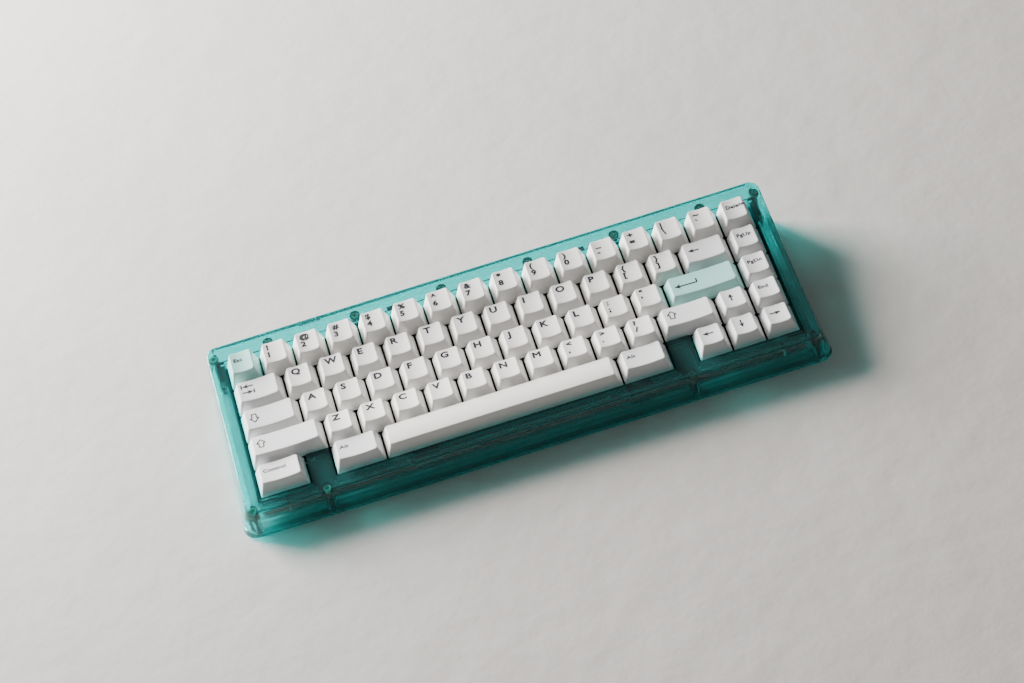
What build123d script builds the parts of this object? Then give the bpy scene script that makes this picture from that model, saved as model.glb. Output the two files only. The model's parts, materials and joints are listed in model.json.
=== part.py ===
from build123d import *
import math
import os

# Mechanical keyboard, 16 key units wide and 5 rows deep, in a translucent moulded case.
# Millimetres, +X right, +Y away from the typist, +Z up. The origin is on the table under
# the middle of the case. Keys, switches, plate and board are drawn flat in deck coordinates
# (X from the middle of the key field, Y from its front edge, Z from the keycaps' lower edge)
# and then tilted by the typing angle.

# ---- key field ----
key_pitch = 19.05
columns = 16
rows = 5
typing_angle = 7.0

# ---- case ----
bezel_side = 9.3
bezel_front = 9.3
bezel_rear = 13.25
bezel_top = 2.4
front_height = 17.7
flare_side = 4.9
flare_front = 1.3
flare_rear = 2.0
corner_top = 6.0
corner_bottom = 8.0
shell_wall = 3.0
shell_roof = 2.6
opening_gap = 0.7
opening_corner = 0.8
lip_wall = 2.0
lip_gap = 1.25
blocker_side_gap = 0.65
rim_fillet = 1.2
tray_floor = 2.4
tray_wall = 2.0
tray_wall_height = 7.4
tray_gap = 0.3
rib_wall = 1.2
rib_depth = 8.0

# ---- feet and fasteners ----
foot_height = 1.2
foot_length = 44.0
foot_width = 9.0
foot_recess = 0.8
foot_inset_x = 34.0
foot_inset_y = 17.5
boss_radius = 2.9
insert_radius = 2.2
insert_length = 4.5
thread_radius = 1.25
screw_gap = 0.15
screw_head_radius = 2.1
screw_head_height = 1.5
rear_boss_pitch = 50.6
rear_boss_setback = 6.4
corner_boss_side = 5.9
corner_boss_front = 5.0
corner_boss_rear = 6.6
front_boss_setback = 5.1

# ---- keycaps ----
cap_gap = 0.95
cap_side_inset = 3.1
cap_front_inset = 3.8
cap_rear_inset = 0.45
cap_base_corner = 0.6
cap_top_corner = 1.5
cap_wall = 1.5
cap_roof = 1.2
cap_edge_fillet = 0.3
dish_depth = 0.75
dish_margin = 0.4
space_crown = 40.0
post_radius = 2.75
post_foot = 0.55
cross_gap = 0.025

# ---- switches ----
travel = 3.8
housing_above_base = 0.35
housing_above_plate = 6.6
plate_to_board = 5.0
plate_thickness = 1.5
board_thickness = 1.6
switch_cutout = 14.0
switch_body = 13.9
switch_flange = 15.6
flange_height = 1.0
housing_wall = 1.2
housing_top_x = 9.8
housing_top_y = 9.6
slider_x = 7.0
slider_y = 5.4
slider_gap = 0.2
slider_height = 4.9
rail_x = 8.0
rail_y = 3.0
cross_length = 4.0
cross_thick = 1.27
cross_height = 3.7
spring_radius = 1.9
spring_wire = 0.2
spring_turns = 7
centre_post_radius = 1.5
rod_radius = 0.8
pole_radius = 2.0
pole_length = 3.3
leaf_thickness = 0.3
pin_width = 1.0
pin_one = (2.54, 5.08)
pin_two = (-3.81, 2.54)

# ---- stabilizers ----
stab_offset_short = 11.938
stab_offset_long = 57.15
stab_slider = 5.4
stab_opening = 5.8
stab_wall = 1.0
stab_height = 5.0
stab_arm = 9.0
stab_tip = 1.6
stab_wire_radius = 0.8
stab_wire_bend = 2.5
stab_relief = 3.0
stab_slot = 2.3
stab_gap = 0.22

# ---- plate, board and gaskets ----
plate_margin = 2.0
tab_length = 14.0
tab_reach = 3.0
gasket_width = 1.8
gasket_leg = 10.0
side_tab_y = 91.0
board_margin = 0.5
hole_gap = 0.1

# ---- USB inlet ----
usb_x = -101.6
usb_z = 9.5
usb_shell = (8.94, 7.35, 3.26)
usb_shell_wall = 0.3
usb_cutout = (12.6, 6.8)
usb_cutout_corner = 2.6
usb_setback = 0.5
usb_board = (20.0, 18.0, 1.2)
cable_width = 8.0
cable_thickness = 0.4

# Keycap sculpt: height of the front and the rear edge of the top, by row from the rear.
PROFILES = {
    "number": (9.9, 9.9),
    "upper": (7.7, 7.0),
    "home": (7.1, 6.0),
    "lower": (8.4, 6.1),
}

# The rows of keys from the front: sculpt, then name and width in key units. None is a blocker.
LAYOUT = [
    ("lower", [("left_control", 1.5), (None, 0.75), ("left_alt", 1.5), ("space", 7.0),
               ("right_alt", 1.5), (None, 0.75), ("left_arrow", 1.0), ("down_arrow", 1.0),
               ("right_arrow", 1.0)]),
    ("lower", [("left_shift", 2.25)] + [(c, 1.0) for c in "zxcvbnm"]
     + [("comma", 1.0), ("period", 1.0), ("slash", 1.0), ("right_shift", 1.75),
        ("up_arrow", 1.0), ("end", 1.0)]),
    ("home", [("caps_lock", 1.75)] + [(c, 1.0) for c in "asdfghjkl"]
     + [("semicolon", 1.0), ("quote", 1.0), ("enter", 2.25), ("page_down", 1.0)]),
    ("upper", [("tab", 1.5)] + [(c, 1.0) for c in "qwertyuiop"]
     + [("left_bracket", 1.0), ("right_bracket", 1.0), ("backspace", 1.5), ("page_up", 1.0)]),
    ("number", [("escape", 1.0)] + [(c, 1.0) for c in "1234567890"]
     + [("minus", 1.0), ("equals", 1.0), ("backslash", 1.0), ("grave", 1.0), ("delete", 1.0)]),
]

# Keys that share a node; every other key has a node of its own.
KEY_GROUPS = {
    "number_row_keys": list("1234567890") + ["minus", "equals", "backslash", "grave"],
    "punctuation_keys": ["left_bracket", "right_bracket", "semicolon", "quote", "comma",
                         "period", "slash"],
    "navigation_keys": ["delete", "page_up", "page_down", "end", "left_arrow", "down_arrow",
                        "right_arrow", "up_arrow"],
}

# Keys with stabilizers, and the stabilizer stems' distance from the key's middle.
STABILIZED = {
    "left_shift": stab_offset_short,
    "enter": stab_offset_short,
    "space": stab_offset_long,
}

# ---- sizes worked out from the above ----
field_x = columns * key_pitch
field_y = rows * key_pitch
half_field = field_x / 2
tilt_sin = math.sin(math.radians(typing_angle))
tilt_cos = math.cos(math.radians(typing_angle))
top_front_y = -bezel_front * tilt_cos - bezel_top * tilt_sin
top_rear_y = (field_y + bezel_rear) * tilt_cos - bezel_top * tilt_sin
case_x = field_x + 2 * (bezel_side + flare_side)
case_y = top_rear_y - top_front_y + flare_front + flare_rear
deck_y = (flare_front - flare_rear - top_front_y - top_rear_y) / 2
deck_z = foot_height + front_height + bezel_front * tilt_sin - bezel_top * tilt_cos

housing_top = housing_above_base
plate_top = housing_top - housing_above_plate
plate_bottom = plate_top - plate_thickness
board_top = plate_top - plate_to_board
board_bottom = board_top - board_thickness
lip_bottom = plate_top + lip_gap
shoulder = housing_top - 0.1
slider_bottom = shoulder - slider_height
cavity_floor = board_top + housing_wall
spring_roof = housing_top - housing_wall - slider_gap
floor_top = foot_height + tray_floor


def deck(shape):
    """Tilt a shape from deck coordinates into the keyboard's frame."""
    return Pos(0, deck_y, deck_z) * Rot(typing_angle, 0, 0) * shape


def block(x0, x1, y0, y1, z0, z1):
    """Box between two corners."""
    size = (x1 - x0, y1 - y0, z1 - z0)
    return Pos((x0 + x1) / 2, (y0 + y1) / 2, (z0 + z1) / 2) * Box(*size)


def centred(size_x, size_y, z0, z1):
    """Box centred on X and Y between two heights."""
    return block(-size_x / 2, size_x / 2, -size_y / 2, size_y / 2, z0, z1)


def rod(x, y, z0, z1, radius):
    """Upright cylinder between two heights."""
    return Pos(x, y, (z0 + z1) / 2) * Cylinder(radius, z1 - z0)


def group(shapes):
    """Separate solids kept side by side as one compound."""
    solids = []
    for shape in shapes:
        solids.extend(shape.solids())
    return Compound(children=solids)


# ---- where the keys are ----
def read_layout():
    """Every key as name, sculpt, width, middle X and middle Y, and the blockers' X ranges."""
    keys = []
    blockers = []
    for row, (profile, caps) in enumerate(LAYOUT):
        start = 0.0
        for name, width in caps:
            left = start * key_pitch - half_field
            right = (start + width) * key_pitch - half_field
            if name is None:
                blockers.append((left + blocker_side_gap, right - blocker_side_gap))
            else:
                middle_y = (row + 0.5) * key_pitch
                keys.append((name, profile, width, (left + right) / 2, middle_y))
            start += width
    return keys, blockers


KEYS, BLOCKERS = read_layout()


# ---- keycaps and stems, drawn round the key's own middle ----
def sloped_face(x_size, y_front, y_rear, z_front, z_rear, corner):
    """Rounded rectangle on a plane that slopes between its front and rear edges."""
    run = y_rear - y_front
    rise = z_rear - z_front
    middle = ((y_front + y_rear) / 2, (z_front + z_rear) / 2)
    plane = Plane(origin=(0, *middle), x_dir=(1, 0, 0), z_dir=(0, -rise, run))
    return plane * RectangleRounded(x_size, math.hypot(run, rise), corner)


def cap_top(width, profile):
    """Outer sizes of a cap: base half width, top half width, front and rear Y and Z."""
    base_x = width * key_pitch - cap_gap
    base_y = key_pitch - cap_gap
    front = -base_y / 2 + cap_front_inset
    rear = base_y / 2 - cap_rear_inset
    z_front, z_rear = PROFILES[profile]
    return base_x, base_y, base_x - 2 * cap_side_inset, front, rear, z_front, z_rear


def dished(body, top_x, front, rear, z_front, z_rear):
    """Cut the cylindrical finger dish, whose axis runs from front to rear."""
    half = top_x / 2 + dish_margin
    radius = (half**2 + dish_depth**2) / (2 * dish_depth)
    run = rear - front
    rise = z_rear - z_front
    plane = Plane(
        origin=(0, (front + rear) / 2, (z_front + z_rear) / 2),
        x_dir=(1, 0, 0),
        z_dir=(0, -rise, run),
    )
    cutter = plane * Pos(0, 0, radius - dish_depth) * Rot(90, 0, 0) * Cylinder(radius, 3 * run)
    return body - cutter


def crowned(body, front, rear, z_front, z_rear):
    """Round the top of the space bar over from front to rear."""
    slope = math.atan2(z_rear - z_front, rear - front)
    middle_y = (front + rear) / 2 + space_crown * math.sin(slope)
    middle_z = (z_front + z_rear) / 2 - space_crown * math.cos(slope)
    roller = Pos(0, middle_y, middle_z) * Rot(0, 90, 0)
    return body & roller * Cylinder(space_crown, 2 * field_x)


def cap_cavity(base_x, base_y, top_x, front, rear, z_front, z_rear):
    """Hollow under a cap, with walls and a roof of even thickness."""
    drop = dish_depth + cap_roof
    low_front = z_front - drop
    low_rear = z_rear - drop
    share_front = low_front / z_front
    share_rear = low_rear / z_rear
    y_front = -base_y / 2 + (front + base_y / 2) * share_front + cap_wall
    y_rear = base_y / 2 - (base_y / 2 - rear) * share_rear - cap_wall
    share = (share_front + share_rear) / 2
    roof_x = base_x + (top_x - base_x) * share - 2 * cap_wall
    bottom = RectangleRounded(base_x - 2 * cap_wall, base_y - 2 * cap_wall, cap_base_corner)
    roof = sloped_face(roof_x, y_front, y_rear, low_front, low_rear, cap_base_corner)
    return loft([bottom.face(), roof.face()], ruled=True)


def cross(x, z0, z1, gap):
    """The cross that a stem plugs into a cap with, at a distance from the key's middle."""
    long = cross_length / 2 + gap
    thick = cross_thick / 2 + gap
    return block(x - long, x + long, -thick, thick, z0, z1) + block(
        x - thick, x + thick, -long, long, z0, z1
    )


def keycap(width, profile, is_space, posts):
    """One keycap with its stem post, and stabilizer posts where it has them."""
    base_x, base_y, top_x, front, rear, z_front, z_rear = cap_top(width, profile)
    base = RectangleRounded(base_x, base_y, cap_base_corner)
    top = sloped_face(top_x, front, rear, z_front, z_rear, cap_top_corner)
    body = loft([base.face(), top.face()], ruled=True)
    if is_space:
        body = crowned(body, front, rear, z_front, z_rear)
    else:
        body = dished(body, top_x, front, rear, z_front, z_rear)
    rim = body.faces().sort_by(Axis.Z)[-1].outer_wire().edges()
    body = fillet(rim, cap_edge_fillet)
    body = body - cap_cavity(base_x, base_y, top_x, front, rear, z_front, z_rear)
    slope = (z_rear - z_front) / (rear - front)
    roof_z = z_front - front * slope - dish_depth - cap_roof
    for x in posts:
        body = body + rod(x, 0, post_foot, roof_z + cap_roof / 2, post_radius)
    for x in posts:
        body = body - cross(x, post_foot - 1, shoulder + cross_height + 0.2, cross_gap)
    return body


def switch_stem():
    """Sliding stem of a switch: slider with its rails, cross, spring bore and guide rod."""
    stem = centred(slider_x, slider_y, slider_bottom, shoulder)
    stem = stem + centred(rail_x, rail_y, slider_bottom, spring_roof)
    stem = stem - rod(0, 0, slider_bottom - 1, spring_roof, spring_radius + 2 * spring_wire)
    stem = stem + rod(0, 0, board_top + 3.5, spring_roof + 0.2, rod_radius)
    return stem + cross(0, shoulder, shoulder + cross_height, 0)


def stab_geometry():
    """Wire angle at rest, and the wire slot's lower and upper height in a stabilizer stem."""
    half_angle = travel / stab_arm / 2
    reach_near = stab_arm - stab_slider / 2
    reach_far = stab_arm + stab_tip
    half_wire = stab_wire_radius / math.cos(half_angle)
    high = reach_far * math.tan(half_angle) + half_wire - travel / 2
    low = reach_near * math.tan(half_angle) - half_wire - travel / 2
    half_slot = max(abs(high), abs(low)) + stab_gap
    slot_bottom = board_top + travel + 0.9
    return math.degrees(half_angle), slot_bottom, slot_bottom + 2 * half_slot


WIRE_ANGLE, SLOT_BOTTOM, SLOT_TOP = stab_geometry()
wire_z = (SLOT_BOTTOM + SLOT_TOP) / 2 - travel / 2


def stab_stem(x):
    """Sliding stem of a stabilizer, with the slot that the wire's tip works in."""
    half = stab_slider / 2
    stem = block(x - half, x + half, -half, half, SLOT_BOTTOM - 0.5, shoulder)
    slot = block(x - stab_slot / 2, x + stab_slot / 2, -half - 1, half + 1, SLOT_BOTTOM, SLOT_TOP)
    return stem - slot + cross(x, shoulder, shoulder + cross_height, 0)


def key_pieces(name, cap, stem):
    """Cap, switch stem and stabilizer stems of one key, round its own middle."""
    pieces = [cap, stem]
    if name in STABILIZED:
        pieces += [stab_stem(side * STABILIZED[name]) for side in (-1, 1)]
    return pieces


def write_keys():
    """One node for each key or key group: each holds caps and stems as separate solids."""
    caps = {}
    stem = switch_stem()
    nodes = {}
    for name, profile, width, x, y in KEYS:
        offset = STABILIZED.get(name, 0)
        shape_key = (width, profile, name == "space", offset)
        if shape_key not in caps:
            posts = [0] if offset == 0 else [-offset, 0, offset]
            caps[shape_key] = keycap(width, profile, name == "space", posts)
        node = "key_" + name
        for group_name, members in KEY_GROUPS.items():
            if name in members:
                node = group_name
        placed = [
            deck(Pos(x, y, 0) * piece)
            for piece in key_pieces(name, caps[shape_key], stem)
        ]
        nodes.setdefault(node, []).extend(placed)
    for node, pieces in nodes.items():
        save(node, group(pieces))


# ---- switch pieces that stay still, drawn round the switch's middle ----
def lower_housing():
    """Lower housing: body in the plate, flange, centre post with its bore, pole and pin slots."""
    body = centred(switch_body, switch_body, board_top, plate_top + flange_height)
    body = body + centred(switch_flange, switch_flange, plate_top, plate_top + flange_height)
    inner = switch_body - 2 * housing_wall
    body = body - centred(inner, inner, cavity_floor, plate_top + flange_height + 1)
    post_top = spring_roof - travel - 0.35
    body = body + rod(0, 0, cavity_floor - 0.5, post_top, centre_post_radius)
    body = body + rod(0, 0, board_top - pole_length, board_top + 0.5, pole_radius)
    bore_radius = rod_radius + slider_gap
    body = body - rod(0, 0, board_top - pole_length + 1.0, post_top + 1, bore_radius)
    for x, y in (pin_one, pin_two):
        half = pin_width / 2 + hole_gap
        body = body - block(x - half, x + half, y - 0.3, y + 0.3, board_top - 1, cavity_floor + 1)
    return body


def upper_housing():
    """Upper housing: tapered shell with the slider's opening in its roof."""
    foot = plate_top + flange_height
    outer = loft(
        [
            (Pos(0, 0, foot) * Rectangle(switch_body, switch_body)).face(),
            (Pos(0, 0, housing_top) * Rectangle(housing_top_x, housing_top_y)).face(),
        ],
        ruled=True,
    )
    inner = loft(
        [
            (Pos(0, 0, foot) * Rectangle(*[switch_body - 2 * housing_wall] * 2)).face(),
            (
                Pos(0, 0, housing_top - housing_wall)
                * Rectangle(housing_top_x - housing_wall, housing_top_y - housing_wall)
            ).face(),
        ],
        ruled=True,
    )
    opening = centred(slider_x + 2 * slider_gap, slider_y + 2 * slider_gap, foot, housing_top + 1)
    return outer - inner - opening


def spring():
    """Compression spring between the lower housing's floor and the stem."""
    low = cavity_floor + spring_wire + 0.05
    height = spring_roof - spring_wire - 0.05 - low
    path = Pos(0, 0, low) * Helix(height / spring_turns, height, spring_radius)
    section = Plane(origin=path @ 0, z_dir=path % 0) * Circle(spring_wire)
    return sweep(section, path=path, is_frenet=True)


def leaf(x, y, leaf_y, top, width):
    """Contact leaf standing in the housing, with a foot and a solder pin below the board."""
    foot_z = cavity_floor + 0.1
    thick = leaf_thickness
    low_y = min(y, leaf_y) - thick / 2
    high_y = max(y, leaf_y) + thick / 2
    inward = -1 if x > 0 else 1
    plate = block(
        *sorted((x - inward * pin_width / 2, x + inward * width)),
        leaf_y - thick / 2, leaf_y + thick / 2, foot_z, top,
    )
    half = pin_width / 2
    foot = block(x - half, x + half, low_y, high_y, foot_z, foot_z + thick)
    pin = block(x - half, x + half, y - thick / 2, y + thick / 2, board_top - pole_length, foot_z + thick)
    return plate + foot + pin


def contacts():
    """The fixed and the moving contact of one switch."""
    fixed = leaf(*pin_one, 5.08, plate_top + 0.6, 4.0)
    moving = leaf(*pin_two, 3.5, plate_top + 1.4, 3.0)
    return [fixed, moving]


def at_switches(pieces):
    """Copy a switch's pieces to every key."""
    placed = []
    for name, profile, width, x, y in KEYS:
        placed += [deck(Pos(x, y, 0) * piece) for piece in pieces]
    return group(placed)


# ---- stabilizers ----
def stab_housing(x):
    """Housing that a stabilizer stem slides in, with the slot for the wire's arm."""
    outer = stab_opening + 2 * stab_wall
    half = stab_opening / 2
    top = plate_top + stab_height
    body = block(x - outer / 2, x + outer / 2, -outer / 2, outer / 2, board_top, top)
    flange = outer / 2 + 0.4
    body = body + block(x - outer / 2, x + outer / 2, -flange, flange, plate_top, plate_top + 0.8)
    body = body - block(x - half, x + half, -half, half, board_top - 1, top + 1)
    arm_top = wire_z + (stab_arm - half) * math.tan(math.radians(WIRE_ANGLE)) + stab_wire_radius
    slot_half = stab_slot / 2
    cut = block(x - slot_half, x + slot_half, -outer, -half + 1, board_top - 1, arm_top + 0.4)
    return body - cut


def stab_wire(offset):
    """Steel wire bent to a U: the bar is the hinge, and the two arms reach into the stems."""
    far = stab_arm + stab_tip
    points = [(-offset, far), (-offset, 0), (offset, 0), (offset, far)]
    path = FilletPolyline(*[(x, y, 0) for x, y in points], radius=stab_wire_bend)
    section = Plane(origin=path @ 0, z_dir=path % 0) * Circle(stab_wire_radius)
    wire = sweep(section, path=path)
    return Pos(0, -stab_arm, wire_z) * Rot(WIRE_ANGLE, 0, 0) * wire


def write_stabilizers():
    """Stabilizer housings in one node, and a node for each wire."""
    housings = []
    for name, profile, width, x, y in KEYS:
        if name in STABILIZED:
            offset = STABILIZED[name]
            housings += [deck(Pos(x, y, 0) * stab_housing(side * offset)) for side in (-1, 1)]
            save("stabilizer_wire_" + name, group([deck(Pos(x, y, 0) * stab_wire(offset))]))
    save("stabilizer_housings", group(housings))


# ---- plate and board ----
def tabs():
    """Gasket tabs of the plate, as X and Y ranges beyond its edge."""
    reach = plate_margin + tab_reach
    half = tab_length / 2
    found = []
    for side in (-1, 1):
        edge = sorted((side * (half_field + plate_margin - 1), side * (half_field + reach)))
        found.append((*edge, side_tab_y - half, side_tab_y + half))
        middle = side * rear_boss_pitch
        rear_edge = field_y + plate_margin
        found.append((middle - half, middle + half, rear_edge - 1, rear_edge + tab_reach))
        front_x = side * 60.0
        found.append((front_x - half, front_x + half, -reach, -plate_margin + 1))
    return found


def switch_plate():
    """Plate that the switches clip into, with stabilizer cut-outs and gasket tabs."""
    width = field_x + 2 * plate_margin
    depth = field_y + 2 * plate_margin
    sheet = Pos(0, field_y / 2) * RectangleRounded(width, depth, 1.5)
    for x0, x1, y0, y1 in tabs():
        sheet = sheet + Pos((x0 + x1) / 2, (y0 + y1) / 2) * Rectangle(x1 - x0, y1 - y0)
    holes = []
    stab_hole = stab_opening + 2 * stab_wall + 2 * hole_gap
    channel = 2 * (stab_wire_radius + 0.3)
    for name, profile, width, x, y in KEYS:
        holes.append(Pos(x, y) * Rectangle(switch_cutout, switch_cutout))
        if name in STABILIZED:
            offset = STABILIZED[name]
            holes.append(Pos(x, y - stab_arm) * Rectangle(2 * offset + channel, channel))
            for side in (-1, 1):
                middle = x + side * offset
                holes.append(Pos(middle, y) * Rectangle(stab_hole, stab_hole))
                holes.append(Pos(middle, y - stab_arm / 2) * Rectangle(channel, stab_arm))
                bend = Pos(middle - side * stab_relief / 2, y - stab_arm + stab_relief / 2)
                holes.append(bend * Rectangle(stab_relief, stab_relief))
    for hole in holes:
        sheet = sheet - hole
    return deck(Pos(0, 0, plate_bottom) * extrude(sheet, plate_thickness))


def circuit_board():
    """Main board with a hole for each switch's pole and pins."""
    width = field_x + 2 * board_margin
    depth = field_y + 2 * board_margin
    sheet = Pos(0, field_y / 2) * RectangleRounded(width, depth, 1.0)
    holes = []
    for name, profile, width, x, y in KEYS:
        holes.append(Pos(x, y) * Circle(pole_radius + hole_gap))
        holes += [Pos(x + px, y + py) * Circle(pin_width / 2 + 0.25) for px, py in (pin_one, pin_two)]
    sheet = sheet - holes
    return deck(Pos(0, 0, board_bottom) * extrude(sheet, board_thickness))


def hot_swap_socket():
    """Socket under the board: a body with a round way through for each pin."""
    low = board_bottom - 1.8
    left = pin_two[0] - 2.2
    right = pin_one[0] + 2.2
    body = block(left, 0, 1.0, 4.3, low, board_bottom) + block(-1.0, right, 3.4, 6.8, low, board_bottom)
    body = body - rod(0, 0, low - 1, board_bottom + 1, pole_radius + 0.25)
    for x, y in (pin_one, pin_two):
        body = body - rod(x, y, low - 1, board_bottom + 1, pin_width / 2 + 0.25)
    return body


def diode():
    """Diode on the underside, beside the switch."""
    return block(-6.4, -4.8, -4.6, -1.8, board_bottom - 1.1, board_bottom)


def board_components():
    """Everything soldered under the board: sockets, diodes, controller, crystal, connector."""
    placed = []
    for name, profile, width, x, y in KEYS:
        placed += [deck(Pos(x, y, 0) * piece) for piece in (hot_swap_socket(), diode())]
    chip_y = 2 * key_pitch
    placed.append(deck(block(-3.5, 3.5, chip_y - 3.5, chip_y + 3.5, board_bottom - 0.9, board_bottom)))
    placed.append(deck(block(6.0, 9.2, chip_y - 1.2, chip_y + 1.3, board_bottom - 0.8, board_bottom)))
    plug_y = 4 * key_pitch
    placed.append(
        deck(block(usb_x - 5, usb_x + 5, plug_y - 1.5, plug_y + 1.5, board_bottom - 2.2, board_bottom))
    )
    return group(placed)


# ---- case ----
def outline_loft(inset, below, above):
    """Body inside the case's outer shape, inset from its walls and cut at two heights."""
    low = foot_height - below
    bottom = Pos(0, 0, low) * RectangleRounded(
        case_x - 2 * inset, case_y - 2 * inset, corner_bottom - inset * 0.6
    )
    depth = field_y + bezel_front + bezel_rear - 2 * inset
    middle_y = (field_y + bezel_rear - bezel_front) / 2
    top = deck(
        Pos(0, middle_y, bezel_top - above)
        * RectangleRounded(field_x + 2 * bezel_side - 2 * inset, depth, corner_top - inset * 0.8)
    )
    return loft([bottom.face(), top.face()], ruled=True)


def opening_sketch(grow):
    """The key opening, or its outline grown outwards, with the blockers left standing."""
    gap = opening_gap + grow
    width = field_x + 2 * gap
    depth = field_y + 2 * gap
    sketch = Pos(0, field_y / 2) * RectangleRounded(width, depth, opening_corner + grow)
    for x0, x1 in BLOCKERS:
        top_y = key_pitch - blocker_side_gap - grow
        low_y = -gap - 1
        block_x = x1 - x0 - 2 * grow
        arm = Pos((x0 + x1) / 2, (top_y + low_y) / 2) * RectangleRounded(
            block_x, top_y - low_y, opening_corner
        )
        root = Pos((x0 + x1) / 2, low_y + 0.5) * Rectangle(block_x, 1.0)
        sketch = sketch - arm - root
    return sketch


def boss_places():
    """Screw bosses as X and Y in deck coordinates: six at the rear, four corners, two in front."""
    rear_y = field_y + bezel_rear - rear_boss_setback
    places = [(step * rear_boss_pitch / 2, rear_y) for step in (-5, -3, -1, 1, 3, 5)]
    side_x = half_field + corner_boss_side
    for side in (-1, 1):
        places.append((side * side_x, field_y + corner_boss_rear))
        places.append((side * side_x, -corner_boss_front))
    for x0, x1 in BLOCKERS:
        places.append(((x0 + x1) / 2, -front_boss_setback))
    return places


def boss_heights(y):
    """Row Y of a boss, and the height of the bezel's top face there."""
    row_y = deck_y + y * tilt_cos - bezel_top * tilt_sin
    face_z = deck_z + y * tilt_sin + bezel_top * tilt_cos
    return row_y, face_z


def insert_span(face_z):
    """Lower and upper height of the threaded insert in a boss."""
    top = face_z - shell_roof - 0.6
    return top - insert_length, top


def top_case():
    """Translucent upper shell: bezel, flared skirt, lip round the keys, blockers and bosses."""
    shell = outline_loft(0, 0, 0)
    rim = shell.faces().sort_by(Axis.Z)[-1].outer_wire().edges()
    shell = fillet(rim, rim_fillet)
    shell = shell - outline_loft(shell_wall, 1.0, shell_roof)
    ring = opening_sketch(lip_wall) - opening_sketch(0)
    hole = Pos(0, 0, lip_bottom - 20) * extrude(opening_sketch(0), 40)
    lip = Pos(0, 0, lip_bottom) * extrude(ring, bezel_top - shell_roof / 2 - lip_bottom)
    shell = shell - deck(hole)
    shell = shell + deck(lip)
    inside = outline_loft(shell_wall / 2, 0, shell_roof / 2)
    extras = []
    for x0, x1, y0, y1 in tabs():
        extras.append(deck(block(x0, x1, y0, y1, lip_bottom, bezel_top - shell_roof / 2)))
    for side in (-1, 1):
        x = side * (half_field - 0.7 * key_pitch)
        y0 = -bezel_front + shell_wall / 2
        y1 = -opening_gap - lip_wall / 2
        extras.append(deck(block(x, x + rib_wall, y0, y1, bezel_top - rib_depth, bezel_top - 1)))
    for x, y in boss_places():
        row_y, face_z = boss_heights(y)
        extras.append(rod(x, row_y, floor_top + 0.05, face_z - shell_roof / 2, boss_radius))
    for extra in extras:
        shell = shell + (extra & inside)
    shell = shell - deck(hole)
    for x, y in boss_places():
        row_y, face_z = boss_heights(y)
        low, high = insert_span(face_z)
        shell = shell - rod(x, row_y, floor_top - 1, low, thread_radius + screw_gap)
        shell = shell - rod(x, row_y, low - 0.01, high, insert_radius)
    return shell - usb_opening()


def usb_opening():
    """Way through the rear wall for the USB plug."""
    width, height = usb_cutout
    face = Plane.XZ * Pos(usb_x, usb_z) * RectangleRounded(width, height, usb_cutout_corner)
    return Pos(0, case_y / 2 + 5, 0) * extrude(face, 16)


def bottom_case():
    """Tray inside the skirt: floor, upstanding wall, supports under the plate, foot recesses."""
    slab = block(-case_x, case_x, -case_y, case_y, foot_height, floor_top)
    tray = outline_loft(shell_wall + tray_gap, 0, shell_roof) & slab
    ring = outline_loft(shell_wall + tray_gap, 0, shell_roof)
    ring = ring - outline_loft(shell_wall + tray_gap + tray_wall, 1, shell_roof - 1)
    band = block(-case_x, case_x, -case_y, case_y, foot_height, foot_height + tray_wall_height)
    tray = tray + (ring & band)
    for x0, x1, y0, y1 in tabs():
        post = deck(block(x0 + 2, x1 - 1, y0 + 1, y1 - 1, -60, plate_bottom - lip_gap))
        keep = outline_loft(shell_wall + tray_gap + tray_wall / 2, 0, shell_roof)
        tray = tray + (post & keep)
    for x, y in boss_places():
        row_y, face_z = boss_heights(y)
        tray = tray - rod(x, row_y, floor_top, foot_height + tray_wall_height + 30, boss_radius + 0.3)
        tray = tray - rod(x, row_y, 0, floor_top + 1, thread_radius + screw_gap)
        tray = tray - rod(x, row_y, 0, foot_height + screw_head_height, screw_head_radius + 0.2)
    for x, y in foot_places():
        recess = block(
            x - foot_length / 2 - 0.2, x + foot_length / 2 + 0.2,
            y - foot_width / 2 - 0.2, y + foot_width / 2 + 0.2, 0, foot_height + foot_recess,
        )
        tray = tray - recess
    tray = tray - block(
        usb_x - 12, usb_x + 12, case_y / 2 - 24, case_y / 2, floor_top, floor_top + 30
    )
    for x, y in usb_board_screws():
        tray = tray + rod(x, y, floor_top - 1, usb_board_z(), 2.0)
        tray = tray - rod(x, y, floor_top - 0.6, usb_board_z() + 1, 0.8)
    return tray


def foot_places():
    """Middles of the four feet."""
    x = case_x / 2 - foot_inset_x
    y = case_y / 2 - foot_inset_y
    return [(sx * x, sy * y) for sx in (-1, 1) for sy in (-1, 1)]


def rubber_feet():
    """Four long rubber feet, glued into their recesses."""
    feet = []
    for x, y in foot_places():
        shape = extrude(RectangleRounded(foot_length, foot_width, foot_width / 2 - 0.1),
                        foot_height + foot_recess)
        feet.append(Pos(x, y, 0) * chamfer(shape.faces().sort_by(Axis.Z)[0].edges(), 0.3))
    return group(feet)


def case_screw(length):
    """Machine screw standing head down, its head's face at height 0, with a hex socket."""
    head = rod(0, 0, 0, screw_head_height, screw_head_radius)
    head = head - extrude(RegularPolygon(0.9, 6), 0.8)
    return head + rod(0, 0, screw_head_height, length, thread_radius - 0.05)


def case_screws():
    """Screws up through the tray into the inserts, and two that hold the daughterboard."""
    placed = []
    for x, y in boss_places():
        row_y, face_z = boss_heights(y)
        low, high = insert_span(face_z)
        placed.append(Pos(x, row_y, foot_height) * case_screw(high - foot_height - 0.8))
    for x, y in usb_board_screws():
        top = usb_board_z() + usb_board[2]
        small = rod(x, y, top, top + 1.0, 1.5) + rod(x, y, floor_top - 0.4, top, 0.75)
        placed.append(small)
    return group(placed)


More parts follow.
